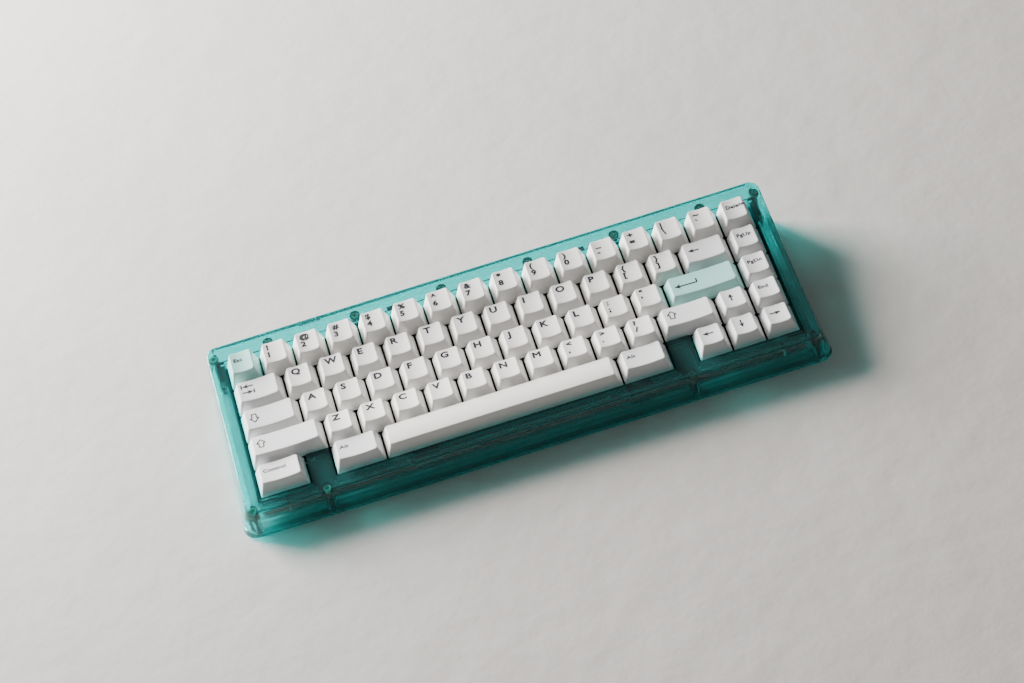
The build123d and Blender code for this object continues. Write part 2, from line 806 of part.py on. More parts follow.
def threaded_inserts():
    """Heat-set inserts in the bosses, one above each screw."""
    placed = []
    for x, y in boss_places():
        row_y, face_z = boss_heights(y)
        low, high = insert_span(face_z)
        ring = rod(x, row_y, low, high, insert_radius) - rod(x, row_y, low - 1, high + 1, thread_radius)
        placed.append(ring)
    return group(placed)


def gasket_strips():
    """Foam strips above and below the plate's tabs, and an L under the lip at each front corner."""
    placed = []
    for x0, x1, y0, y1 in tabs():
        upright = (y1 - y0) > (x1 - x0)
        if upright:
            outer = max(abs(x0), abs(x1))
            ends = sorted((math.copysign(outer, x0 + x1), math.copysign(outer - gasket_width, x0 + x1)))
            span = (*ends, y0, y1)
        elif y0 < 0:
            span = (x0, x1, y0, y0 + gasket_width)
        else:
            span = (x0, x1, y1 - gasket_width, y1)
        placed.append(deck(block(*span, plate_top, lip_bottom)))
    outer_x = half_field + plate_margin
    for side in (-1, 1):
        leg_x = sorted((side * outer_x, side * (outer_x - gasket_leg)))
        stem_x = sorted((side * outer_x, side * (outer_x - gasket_width)))
        front = -plate_margin
        leg = block(*leg_x, front, front + gasket_width, plate_top, lip_bottom)
        stem = block(*stem_x, front, front + gasket_leg, plate_top, lip_bottom)
        placed.append(deck(leg + stem))
    return group(placed)


# ---- USB inlet ----
def usb_mouth_y():
    """Y of the connector's mouth, just inside the rear wall."""
    rear_top_z = deck_z + (field_y + bezel_rear) * tilt_sin + bezel_top * tilt_cos
    share = (usb_z - foot_height) / (rear_top_z - foot_height)
    return case_y / 2 - flare_rear * share - shell_wall - usb_setback


def usb_board_z():
    """Height of the daughterboard's underside."""
    return usb_z - usb_shell[2] / 2 - usb_board[2]


def usb_board_screws():
    """Places of the daughterboard's two screws."""
    y = usb_mouth_y() - usb_board[1] + 5.5
    return [(usb_x + side * (usb_board[0] / 2 - 2.6), y) for side in (-1, 1)]


def usb_daughterboard():
    """Small board that carries the connector, with the ribbon cable's socket."""
    mouth = usb_mouth_y()
    low = usb_board_z()
    top = low + usb_board[2]
    half = usb_board[0] / 2
    board = block(usb_x - half, usb_x + half, mouth - usb_board[1], mouth, low, top)
    for x, y in usb_board_screws():
        board = board - rod(x, y, low - 1, top + 1, 0.95)
    front = mouth - usb_board[1]
    socket = block(usb_x - 5, usb_x + 5, front + 0.8, front + 3.6, top, top + 1.8)
    return group([board, socket])


def usb_connector():
    """Connector: a steel shell open to the rear, with the contact tongue inside."""
    width, depth, height = usb_shell
    mouth = usb_mouth_y()
    profile = Plane.XZ * Pos(usb_x, usb_z) * RectangleRounded(width, height, height / 2 - 0.05)
    bore = Plane.XZ * Pos(usb_x, usb_z) * RectangleRounded(
        width - 2 * usb_shell_wall, height - 2 * usb_shell_wall, height / 2 - usb_shell_wall - 0.05
    )
    shell = Pos(0, mouth, 0) * extrude(profile, depth)
    shell = shell - Pos(0, mouth, 0) * extrude(bore, depth - 1.0)
    tongue = block(usb_x - 3.3, usb_x + 3.3, mouth - depth + 1.0, mouth - 1.0, usb_z - 0.35, usb_z + 0.35)
    return group([shell, tongue])


def ribbon_cable():
    """Flat cable from the daughterboard's socket up to the connector under the main board."""
    front = usb_mouth_y() - usb_board[1] + 0.8
    low_z = usb_board_z() + usb_board[2] + 0.9
    plug = deck(Pos(usb_x, 4 * key_pitch + 1.5, board_bottom - 1.6) * Box(1, 1, 1)).center()
    lead = 1.0
    points = [
        (front, low_z),
        (front - lead, low_z),
        (front - lead - 1.5, low_z + 1.2),
        (plug.Y + lead + 1.6, plug.Z + 0.1),
        (plug.Y, plug.Z),
    ]
    upper = [(y, z + cable_thickness) for y, z in reversed(points)]
    strip = Plane.YZ * make_face(Polyline(*points, *upper, close=True))
    return Pos(usb_x, 0, 0) * extrude(strip, cable_width / 2, both=True)


def save(node, shape):
    """Write one sub-part."""
    export_step(shape, f"parts/{node}.step")


def main():
    """Build and write every sub-part."""
    os.makedirs("parts", exist_ok=True)
    write_keys()
    write_stabilizers()
    save("switch_lower_housings", at_switches([lower_housing()]))
    save("switch_upper_housings", at_switches([upper_housing()]))
    save("switch_springs", at_switches([spring()]))
    save("switch_contacts", at_switches(contacts()))
    save("switch_plate", switch_plate())
    save("circuit_board", circuit_board())
    save("board_components", board_components())
    save("top_case", top_case())
    save("bottom_case", bottom_case())
    save("rubber_feet", rubber_feet())
    save("case_screws", case_screws())
    save("threaded_inserts", threaded_inserts())
    save("gasket_strips", gasket_strips())
    save("usb_daughterboard", usb_daughterboard())
    save("usb_connector", usb_connector())
    save("ribbon_cable", ribbon_cable())


main()
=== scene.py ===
"""Looks of a translucent mechanical keyboard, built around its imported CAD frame."""

import json
import logging
import math
from dataclasses import dataclass, field
from enum import Enum

import bmesh
import bpy
from mathutils import Matrix, Vector

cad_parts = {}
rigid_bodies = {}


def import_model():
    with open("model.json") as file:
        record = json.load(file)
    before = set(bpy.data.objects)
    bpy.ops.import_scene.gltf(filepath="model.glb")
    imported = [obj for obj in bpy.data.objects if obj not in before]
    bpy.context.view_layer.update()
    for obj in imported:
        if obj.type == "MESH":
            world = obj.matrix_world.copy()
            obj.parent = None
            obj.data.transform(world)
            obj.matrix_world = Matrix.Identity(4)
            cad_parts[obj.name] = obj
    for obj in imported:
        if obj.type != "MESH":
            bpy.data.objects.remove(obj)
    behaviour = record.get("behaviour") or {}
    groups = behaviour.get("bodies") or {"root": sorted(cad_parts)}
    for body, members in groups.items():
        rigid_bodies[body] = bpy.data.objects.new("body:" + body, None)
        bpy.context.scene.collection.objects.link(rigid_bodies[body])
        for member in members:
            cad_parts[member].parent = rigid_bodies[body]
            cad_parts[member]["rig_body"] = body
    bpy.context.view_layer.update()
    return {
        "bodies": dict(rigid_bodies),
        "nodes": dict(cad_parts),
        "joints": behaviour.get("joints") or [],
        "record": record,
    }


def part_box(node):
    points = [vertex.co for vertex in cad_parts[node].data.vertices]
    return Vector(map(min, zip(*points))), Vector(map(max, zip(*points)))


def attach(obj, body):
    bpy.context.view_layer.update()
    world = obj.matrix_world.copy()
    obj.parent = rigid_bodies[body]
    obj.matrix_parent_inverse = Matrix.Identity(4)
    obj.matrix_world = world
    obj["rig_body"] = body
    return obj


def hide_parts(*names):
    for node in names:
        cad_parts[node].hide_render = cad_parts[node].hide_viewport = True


LOG = logging.getLogger("keyboard")
MM = 0.001
SMOOTH_ANGLE = math.radians(32)
WELD = 2e-6
COAT_ROUGHNESS = 0.2


class Profile(Enum):
    """Sculpt of a keycap: height of its top's front and rear edge, in millimetres."""

    NUMBER = (9.9, 9.9)
    UPPER = (7.7, 7.0)
    HOME = (7.1, 6.0)
    LOWER = (8.4, 6.1)


class Tone(Enum):
    """Colour family of a keycap, and the record's slot for it."""

    CREAM = "cream_cap"
    GREY = "grey_cap"
    MINT = "mint_cap"


class Mark(Enum):
    """A drawn legend that is not a letter."""

    LEFT = "left"
    RIGHT = "right"
    UP = "up"
    DOWN = "down"
    TAB = "tab"
    RETURN = "return"
    SHIFT = "shift"
    LOCK = "lock"


# ---------------------------------------------------------------- finishes


def preset(node: bpy.types.Node, **values: object) -> None:
    """Set constants on a node's inputs.

    Args:
        node: the node.
        values: value of each input, by its name with underscores for spaces.
    """
    for label, value in values.items():
        node.inputs[label.replace("_", " ")].default_value = value


def linked(name: str, data: object) -> bpy.types.Object:
    """Make an object and link it to the scene.

    Args:
        name: name of the object.
        data: its mesh, curve, lamp or camera.

    Returns:
        The object.
    """
    made = bpy.data.objects.new(name, data)
    bpy.context.scene.collection.objects.link(made)
    return made


def new_group(name: str, inputs: dict, outputs: dict) -> tuple:
    """Start a shader node group.

    Args:
        name: name of the group.
        inputs: socket type and default of each input, by name.
        outputs: socket type of each output, by name.

    Returns:
        The tree, its input node and its output node.
    """
    tree = bpy.data.node_groups.new(name, "ShaderNodeTree")
    for label, (kind, default) in inputs.items():
        socket = tree.interface.new_socket(label, in_out="INPUT", socket_type=kind)
        socket.default_value = default
    for label, kind in outputs.items():
        tree.interface.new_socket(label, in_out="OUTPUT", socket_type=kind)
    return tree, tree.nodes.new("NodeGroupInput"), tree.nodes.new("NodeGroupOutput")


def maths(tree: bpy.types.NodeTree, operation: str, first: object, second: object) -> bpy.types.NodeSocket:
    """Add a Math node.

    Args:
        tree: node tree to add to.
        operation: name of the operation.
        first: a socket or a number.
        second: a socket or a number.

    Returns:
        The node's output socket.
    """
    node = tree.nodes.new("ShaderNodeMath")
    node.operation = operation
    for socket, value in zip(node.inputs, (first, second)):
        if isinstance(value, (int, float)):
            socket.default_value = value
        else:
            tree.links.new(value, socket)
    return node.outputs[0]


def noise(tree: bpy.types.NodeTree, vector: bpy.types.NodeSocket, scale: object,
          detail: float = 3.0) -> bpy.types.NodeSocket:
    """Add a Noise node.

    Args:
        tree: node tree to add to.
        vector: socket with the coordinates.
        scale: a socket or a number.
        detail: octaves of detail.

    Returns:
        The node's value output.
    """
    node = tree.nodes.new("ShaderNodeTexNoise")
    node.inputs["Detail"].default_value = detail
    tree.links.new(vector, node.inputs["Vector"])
    if isinstance(scale, (int, float)):
        node.inputs["Scale"].default_value = scale
    else:
        tree.links.new(scale, node.inputs["Scale"])
    return node.outputs[0]


def moulded_grain() -> bpy.types.NodeTree:
    """Group: fine pebbled height and a patchy gloss, as on moulded or blasted surfaces.

    Returns:
        The node group.
    """
    tree, start, end = new_group(
        "moulded_grain",
        {
            "Grain Scale": ("NodeSocketFloat", 2500.0),
            "Gloss": ("NodeSocketFloat", 0.5),
            "Gloss Drift": ("NodeSocketFloat", 0.05),
        },
        {"Height": "NodeSocketFloat", "Roughness": "NodeSocketFloat"},
    )
    place = tree.nodes.new("ShaderNodeTexCoord").outputs["Object"]
    fine = noise(tree, place, start.outputs["Grain Scale"], 2.0)
    tree.links.new(fine, end.inputs["Height"])
    patch = maths(tree, "SUBTRACT", noise(tree, place, 90.0), 0.5)
    drift = maths(tree, "MULTIPLY", patch, start.outputs["Gloss Drift"])
    tree.links.new(maths(tree, "ADD", drift, start.outputs["Gloss"]), end.inputs["Roughness"])
    return tree


def colour_drift() -> bpy.types.NodeTree:
    """Group: slow changes of tone over a surface.

    Returns:
        The node group.
    """
    tree, start, end = new_group(
        "colour_drift",
        {
            "Colour": ("NodeSocketColor", (0.8, 0.8, 0.8, 1)),
            "Amount": ("NodeSocketFloat", 0.05),
            "Patch Scale": ("NodeSocketFloat", 40.0),
        },
        {"Colour": "NodeSocketColor"},
    )
    place = tree.nodes.new("ShaderNodeTexCoord").outputs["Object"]
    patch = maths(tree, "SUBTRACT", noise(tree, place, start.outputs["Patch Scale"]), 0.5)
    swing = maths(tree, "MULTIPLY", patch, start.outputs["Amount"])
    tone = tree.nodes.new("ShaderNodeHueSaturation")
    tree.links.new(maths(tree, "ADD", swing, 1.0), tone.inputs["Value"])
    tree.links.new(start.outputs["Colour"], tone.inputs["Color"])
    tree.links.new(tone.outputs["Color"], end.inputs["Colour"])
    return tree


@dataclass(frozen=True)
class Finish:
    """One finish: its colour, gloss and fine texture."""

    name: str
    colour: tuple
    roughness: float = 0.5
    metallic: float = 0.0
    grain_scale: float = 2500.0
    grain_depth: float = 0.00001
    grain_strength: float = 0.15
    gloss_drift: float = 0.06
    drift: float = 0.06
    patch_scale: float = 40.0
    transmission: float = 0.0
    ior: float = 1.47
    coat: float = 0.0
    shade: tuple = (0.27, 0.60, 0.595)
    body_colour: tuple = (0.04, 0.96, 0.957)
    body_density: float = 230.0

    def build(self, groups: dict) -> bpy.types.Material:
        """Make the material.

        Args:
            groups: the shared shader node groups, by name.

        Returns:
            The material.
        """
        material = bpy.data.materials.new(self.name)
        material.use_nodes = True
        tree = material.node_tree
        shader = tree.nodes["Principled BSDF"]
        grain = tree.nodes.new("ShaderNodeGroup")
        grain.node_tree = groups["moulded_grain"]
        preset(grain, Grain_Scale=self.grain_scale, Gloss=self.roughness, Gloss_Drift=self.gloss_drift)
        tone = tree.nodes.new("ShaderNodeGroup")
        tone.node_tree = groups["colour_drift"]
        preset(tone, Colour=(*self.colour, 1), Amount=self.drift, Patch_Scale=self.patch_scale)
        bump = tree.nodes.new("ShaderNodeBump")
        preset(bump, Strength=self.grain_strength, Distance=self.grain_depth)
        tree.links.new(grain.outputs["Height"], bump.inputs["Height"])
        tree.links.new(bump.outputs["Normal"], shader.inputs["Normal"])
        tree.links.new(grain.outputs["Roughness"], shader.inputs["Roughness"])
        tree.links.new(tone.outputs["Colour"], shader.inputs["Base Color"])
        preset(shader, Metallic=self.metallic, Transmission_Weight=self.transmission, IOR=self.ior,
               Coat_Weight=self.coat, Coat_Roughness=COAT_ROUGHNESS)
        if self.transmission:
            self.let_lamps_through(tree, shader)
        return material

    def let_lamps_through(self, tree: bpy.types.NodeTree, shader: bpy.types.Node) -> None:
        """Let lamps reach what is inside, and deepen the colour with the thickness of the wall.

        Args:
            tree: the material's node tree.
            shader: its main shader.
        """
        clear = tree.nodes.new("ShaderNodeBsdfTransparent")
        preset(clear, Color=(*self.shade, 1))
        rays = tree.nodes.new("ShaderNodeLightPath")
        mix = tree.nodes.new("ShaderNodeMixShader")
        body = tree.nodes.new("ShaderNodeVolumeAbsorption")
        preset(body, Color=(*self.body_colour, 1), Density=self.body_density)
        tree.links.new(rays.outputs["Is Shadow Ray"], mix.inputs[0])
        tree.links.new(shader.outputs[0], mix.inputs[1])
        tree.links.new(clear.outputs[0], mix.inputs[2])
        end = tree.nodes["Material Output"]
        tree.links.new(mix.outputs[0], end.inputs["Surface"])
        tree.links.new(body.outputs[0], end.inputs["Volume"])


FINISHES = (
    Finish("cap_cream", (0.91, 0.895, 0.87), 0.5, grain_depth=0.00003),
    Finish("cap_grey", (0.82, 0.82, 0.82), 0.5, grain_depth=0.00003),
    Finish("cap_mint", (0.40, 0.77, 0.71), 0.5, grain_depth=0.00003),
    Finish("legend_ink", (0.010, 0.011, 0.020), 0.7, drift=0.2),
    Finish("stem_plastic", (0.55, 0.57, 0.56), 0.35),
    Finish("case_clear", (0.36, 0.90, 0.90), 0.035, transmission=0.97, grain_scale=900.0,
           grain_depth=0.00001, grain_strength=0.01, gloss_drift=0.03, drift=0.04, patch_scale=14.0),
    Finish("tray_clear", (0.28, 0.88, 0.88), 0.08, transmission=0.84, grain_scale=900.0,
           grain_depth=0.00001, grain_strength=0.03, drift=0.05, patch_scale=14.0),
    Finish("plate_black", (0.018, 0.02, 0.022), 0.42, metallic=0.7, grain_scale=3500.0),
    Finish("board_black", (0.012, 0.02, 0.022), 0.35, coat=0.4, grain_scale=600.0, drift=0.25),
    Finish("chip_black", (0.03, 0.03, 0.032), 0.5, drift=0.15),
    Finish("housing_dark", (0.035, 0.038, 0.04), 0.4, drift=0.15),
    Finish("spring_steel", (0.62, 0.62, 0.60), 0.25, metallic=1.0, grain_scale=1800.0),
    Finish("wire_steel", (0.60, 0.61, 0.62), 0.3, metallic=1.0, grain_scale=1200.0),
    Finish("leaf_bronze", (0.78, 0.55, 0.28), 0.3, metallic=1.0),
    Finish("foam_black", (0.012, 0.012, 0.013), 0.9, grain_scale=1400.0, grain_depth=0.0001,
           grain_strength=0.7),
    Finish("insert_brass", (0.62, 0.66, 0.55), 0.35, metallic=1.0, grain_scale=1500.0, drift=0.25),
    # dark screw metal; on the insert knurls the same colour is painted shade, not the inserts' own metal
    Finish("screw_dark_and_knurl_shade", (0.12, 0.13, 0.135), 0.35, metallic=1.0, grain_scale=1500.0, drift=0.2),
    Finish("rubber_black", (0.02, 0.02, 0.021), 0.75, grain_scale=1600.0, grain_depth=0.00005,
           grain_strength=0.4),
    Finish("shell_steel", (0.66, 0.67, 0.68), 0.28, metallic=1.0, grain_scale=1500.0),
    Finish("ribbon_cream", (0.60, 0.56, 0.44), 0.5, drift=0.12),
    Finish("pad_gold", (0.83, 0.63, 0.28), 0.25, metallic=1.0),
)


# ---------------------------------------------------------------- mesh helpers


def mesh_object(name: str, verts: list, faces: list) -> bpy.types.Object:
    """Make a linked mesh object.

    Args:
        name: name of the object.
        verts: vertex places in metres.
        faces: vertex numbers of each face.

    Returns:
        The object.
    """
    mesh = bpy.data.meshes.new(name)
    mesh.from_pydata(verts, [], faces)
    mesh.update()
    return linked(name, mesh)


def soften(mesh: bpy.types.Mesh) -> None:
    """Shade a mesh smooth but for its sharp edges.

    Args:
        mesh: the mesh.
    """
    for polygon in mesh.polygons:
        polygon.use_smooth = True
    mesh.set_sharp_from_angle(angle=SMOOTH_ANGLE)


def place_tree() -> bpy.types.NodeTree:
    """Geometry Nodes tree that repeats a shape at every point of a mesh.

    Returns:
        The node tree, with the shape, its tilt and its finish as inputs.
    """
    tree = bpy.data.node_groups.new("shape_at_places", "GeometryNodeTree")
    sockets = (("Places", "Geometry"), ("Shape", "Object"), ("Tilt", "Float"), ("Turn Step", "Float"),
               ("Finish", "Material"))
    for label, kind in sockets:
        tree.interface.new_socket(label, in_out="INPUT", socket_type="NodeSocket" + kind)
    tree.interface.new_socket("Pieces", in_out="OUTPUT", socket_type="NodeSocketGeometry")
    start = tree.nodes.new("NodeGroupInput")
    end = tree.nodes.new("NodeGroupOutput")
    shape = tree.nodes.new("GeometryNodeObjectInfo")
    turn = tree.nodes.new("ShaderNodeCombineXYZ")
    number = tree.nodes.new("GeometryNodeInputIndex")
    step = tree.nodes.new("ShaderNodeMath")
    step.operation = "MULTIPLY"
    copies = tree.nodes.new("GeometryNodeInstanceOnPoints")
    real = tree.nodes.new("GeometryNodeRealizeInstances")
    dress = tree.nodes.new("GeometryNodeSetMaterial")
    wire = tree.links.new
    wire(start.outputs["Shape"], shape.inputs["Object"])
    wire(start.outputs["Tilt"], turn.inputs["X"])
    wire(number.outputs[0], step.inputs[0])
    wire(start.outputs["Turn Step"], step.inputs[1])
    wire(step.outputs[0], turn.inputs["Z"])
    wire(start.outputs["Places"], copies.inputs["Points"])
    wire(shape.outputs["Geometry"], copies.inputs["Instance"])
    wire(turn.outputs[0], copies.inputs["Rotation"])
    wire(copies.outputs[0], real.inputs[0])
    wire(real.outputs[0], dress.inputs[0])
    wire(start.outputs["Finish"], dress.inputs["Material"])
    wire(dress.outputs[0], end.inputs[0])
    return tree


@dataclass
class Workshop:
    """What every sub-assembly shares: the frame, the finishes and the repeating tree."""

    frame: dict
    finishes: dict
    tree: bpy.types.NodeTree

    def repeat(self, name: str, shape: bpy.types.Object, places: list, finish: str,
               tilt: float = 0.0, turn_step: float = 0.0) -> bpy.types.Object:
        """Repeat a shape at a list of places, as one plain mesh.

        Args:
            name: name of the new object.
            shape: object to repeat; it is removed afterwards.
            places: places in the row frame, in metres.
            finish: name of the finish.
            tilt: turn of each copy about X, in radians.
            turn_step: further turn about Z from each copy to the next.

        Returns:
            The object that holds all the copies.
        """
        holder = mesh_object(name + "_places", places, [])
        modifier = holder.modifiers.new("copies", "NODES")
        modifier.node_group = self.tree
        values = {
            "Shape": shape,
            "Tilt": tilt,
            "Turn Step": turn_step,
            "Finish": self.finishes[finish],
        }
        for item in self.tree.interface.items_tree:
            if item.in_out == "INPUT" and item.name in values:
                modifier[item.identifier] = values[item.name]
        bpy.context.view_layer.update()
        graph = bpy.context.evaluated_depsgraph_get()
        mesh = bpy.data.meshes.new_from_object(holder.evaluated_get(graph))
        holder.modifiers.remove(modifier)
        made = linked(name, mesh)
        bpy.data.objects.remove(holder)
        bpy.data.objects.remove(shape)
        return made

    def body_of(self, node: str) -> str:
        """Name of the body that a CAD node rides on."""
        return self.frame["nodes"][node]["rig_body"]

    def settle(self, piece: bpy.types.Object, node: str, stands_for: bool = True) -> bpy.types.Object:
        """Hang a finished piece on the body of its CAD node.

        Args:
            piece: the finished object.
            node: the CAD node it belongs with.
            stands_for: whether it takes that node's place.

        Returns:
            The piece.
        """
        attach(piece, self.body_of(node))
        if stands_for:
            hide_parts(node)
        LOG.info("%s: %d faces", piece.name, len(piece.data.polygons))
        return piece

    def welded(self, node: str, name: str) -> bpy.types.Object:
        """Copy a CAD node with its loose triangles welded and its round faces shaded smooth.

        Args:
            node: name of the CAD node.
            name: name of the copy.

        Returns:
            The copy.
        """
        mesh = bpy.data.meshes.new(name)
        shell = bmesh.new()
        shell.from_mesh(self.frame["nodes"][node].data)
        bmesh.ops.remove_doubles(shell, verts=shell.verts, dist=WELD)
        bmesh.ops.dissolve_degenerate(shell, edges=shell.edges, dist=WELD)
        shell.to_mesh(mesh)
        shell.free()
        for layer in list(mesh.attributes):
            if layer.name == "custom_normal":
                mesh.attributes.remove(layer)
        soften(mesh)
        mesh.materials.clear()
        return linked(name, mesh)

    def refine(self, node: str, name: str, finish: str) -> bpy.types.Object:
        """Replace a CAD node with its welded, smoothly shaded and dressed copy.

        Args:
            node: name of the CAD node.
            name: name of the copy.
            finish: name of the finish.

        Returns:
            The copy.
        """
        piece = self.welded(node, name)
        piece.data.materials.append(self.finishes[finish])
        return self.settle(piece, node)

    def dress(self, node: str, finish: str) -> None:
        """Give a CAD node its finish.

        Args:
            node: name of the CAD node.
            finish: name of the finish.
        """
        mesh = self.frame["nodes"][node].data
        mesh.materials.clear()
        mesh.materials.append(self.finishes[finish])
        LOG.info("%s dressed as %s", node, finish)


@dataclass
class Deck:
    """The tilted deck that keys are laid out on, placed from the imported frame."""

    angle: float = math.radians(7.0)
    pitch: float = 19.05
    columns: int = 16
    origin_y: float = -49.288
    origin_z: float = 17.651

    def place(self, x: float, y: float, z: float) -> Vector:
        """Row-frame place, in metres, of deck coordinates in millimetres."""
        c, s = math.cos(self.angle), math.sin(self.angle)
        return Vector((x, self.origin_y + y * c - z * s, self.origin_z + y * s + z * c)) * MM

    def turn(self, x: float, y: float, z: float) -> Vector:
        """Row-frame direction of a direction in deck coordinates."""
        return Matrix.Rotation(self.angle, 3, "X") @ Vector((x, y, z))

    def flat(self, place: Vector) -> Vector:
        """Turn a place back into deck coordinates.

        Args:
            place: place in the row frame, in metres.

        Returns:
            Deck coordinates in millimetres.
        """
        c, s = math.cos(self.angle), math.sin(self.angle)
        y = place.y / MM - self.origin_y
        z = place.z / MM - self.origin_z
        return Vector((place.x / MM, y * c + z * s, -y * s + z * c))


# ---------------------------------------------------------------- keycaps


@dataclass
class Keycap:
    """One sculpted keycap, drawn round its own middle in millimetres."""

    width: float
    profile: Profile
    bar: bool = False
    pitch: float = 19.05
    gap: float = 0.95
    side_inset: float = 3.1
    front_inset: float = 3.8
    rear_inset: float = 0.45
    base_corner: float = 0.9
    top_corner: float = 1.5
    dish: float = 0.75
    dish_margin: float = 0.4
    crown: float = 40.0
    edge: float = 0.34
    edge_steps: int = 5
    lead: float = 0.25
    wall: float = 1.5
    roof: float = 1.2
    corner_steps: int = 5
    rings: int = 7
    post: float = 2.75
    post_foot: float = 0.55
    post_sides: int = 20
    roof_eye: float = 0.02

    def __post_init__(self) -> None:
        """Work out the sizes of the base and the top."""
        self.base_x = self.width * self.pitch - self.gap
        self.base_y = self.pitch - self.gap
        self.top_x = self.base_x - 2 * self.side_inset
        self.front = -self.base_y / 2 + self.front_inset
        self.rear = self.base_y / 2 - self.rear_inset
        self.top_y = self.rear - self.front
        self.middle_y = (self.rear + self.front) / 2
        half = self.top_x / 2 + self.dish_margin
        self.dish_radius = (half**2 + self.dish**2) / (2 * self.dish)

    def plane_z(self, y: float) -> float:
        """Height of the undished top plane."""
        low, high = self.profile.value
        return low + (high - low) * (y - self.front) / self.top_y

    def surface_z(self, x: float, y: float) -> float:
        """Height of the finished top.

        Args:
            x: X from the cap's middle.
            y: Y from the cap's middle.

        Returns:
            Z over the cap's base.
        """
        if self.bar:
            return self.plane_z(y) - (y - self.middle_y) ** 2 / (2 * self.crown)
        x = max(-self.top_x / 2, min(self.top_x / 2, x))
        rise = self.dish_radius - math.sqrt(self.dish_radius**2 - x * x)
        return self.plane_z(y) - self.dish + rise

    def loop(self, size_x: float, size_y: float, corner: float, middle_y: float) -> list:
        """Points round a rounded rectangle, with the same count for every size.

        Args:
            size_x: width.
            size_y: depth.
            corner: corner radius.
            middle_y: Y of the middle.

        Returns:
            X and Y of each point, anticlockwise.
        """
        along_x = max(8, int(8 * self.width))
        points = []
        for quarter in range(4):
            signs = ((1, -1), (1, 1), (-1, 1), (-1, -1))[quarter]
            centre_x = signs[0] * (size_x / 2 - corner)
            centre_y = middle_y + signs[1] * (size_y / 2 - corner)
            for step in range(self.corner_steps + 1):
                angle = math.radians(-90 + 90 * quarter + 90 * step / self.corner_steps)
                points.append((centre_x + corner * math.cos(angle), centre_y + corner * math.sin(angle)))
            straight = (size_y - 2 * corner, size_x - 2 * corner)[quarter % 2]
            count = (8, along_x)[quarter % 2]
            last = points[-1]
            heading = ((0, 1), (-1, 0), (0, -1), (1, 0))[quarter]
            for step in range(1, count):
                share = straight * step / count
                points.append((last[0] + heading[0] * share, last[1] + heading[1] * share))
        return points

    def outer_loops(self) -> list:
        """Loops of points from the base's edge up the walls, over the edge and across the top.

        Returns:
            Points of each loop.
        """
        base = self.loop(self.base_x, self.base_y, self.base_corner, 0.0)
        top = self.loop(self.top_x, self.top_y, self.top_corner, self.middle_y)
        foot = self.loop(self.base_x - self.lead, self.base_y - self.lead, self.base_corner, 0.0)
        loops = [[(x, y, 0.0) for x, y in foot]]
        walls = []
        rims = []
        for (bx, by), (tx, ty) in zip(base, top):
            share = self.surface_z(tx, ty) / self.plane_z(ty)
            rims.append(Vector((bx + (tx - bx) * share, by + (ty - by) * share, self.surface_z(tx, ty))))
            walls.append(Vector((bx, by, 0.0)))
        for share in (0.02, 0.35, 0.7):
            loops.append([tuple(w.lerp(r, share)) for w, r in zip(walls, rims)])
        shoulder = [r + (w - r).normalized() * self.edge for w, r in zip(walls, rims)]
        shelf = [self.inward(rim, self.edge) for rim in rims]
        for step in range(self.edge_steps + 1):
            t = step / self.edge_steps
            ring = []
            for low, rim, flat in zip(shoulder, rims, shelf):
                ring.append(tuple(low * (1 - t) ** 2 + rim * (2 * t * (1 - t)) + flat * t**2))
            loops.append(ring)
        for step in range(1, self.rings + 1):
            share = 1 - step / self.rings
            loops.append([tuple(self.towards_middle(point, share)) for point in shelf])
        return loops

    def spine(self, point: Vector) -> Vector:
        """Nearest place on the line along the middle of the top."""
        reach = max(0.0, self.top_x / 2 - self.top_y / 2)
        return Vector((max(-reach, min(reach, point.x)), self.middle_y, 0.0))

    def inward(self, point: Vector, distance: float) -> Vector:
        """Move a rim point inwards over the top.

        Args:
            point: point of the rim.
            distance: how far to move it.

        Returns:
            The point on the top.
        """
        heading = (self.spine(point) - Vector((point.x, point.y, 0.0))).normalized()
        x = point.x + heading.x * distance
        y = point.y + heading.y * distance
        return Vector((x, y, self.surface_z(x, y)))

    def towards_middle(self, point: Vector, share: float) -> Vector:
        """Draw a point of the top in towards the middle line.

        Args:
            point: point of the top.
            share: share of its distance that is kept.

        Returns:
            The point on the top.
        """
        spine = self.spine(point)
        x = spine.x + (point.x - spine.x) * share
        y = spine.y + (point.y - spine.y) * share
        return Vector((x, y, self.surface_z(x, y)))

    def inner_loops(self) -> list:
        """Loops of the hollow, from its roof down to the base's inner edge.

        Returns:
            Points of each loop.
        """
        drop = self.dish + self.roof
        share = 1 - drop / self.profile.value[0]
        roof_x = self.base_x + (self.top_x - self.base_x) * share - 2 * self.wall
        roof_y = self.base_y + (self.top_y - self.base_y) * share - 2 * self.wall
        centre = self.middle_y * share
        roof = self.loop(roof_x, roof_y, self.base_corner, centre)
        mouth = self.loop(self.base_x - 2 * self.wall, self.base_y - 2 * self.wall, self.base_corner, 0.0)
        eye = self.roof_eye
        inner = [[(x * eye, centre + (y - centre) * eye, self.plane_z(centre) - drop) for x, y in roof]]
        inner.append([(x, y, self.plane_z(y) - drop) for x, y in roof])
        inner.append([(x, y, 0.0) for x, y in mouth])
        return inner

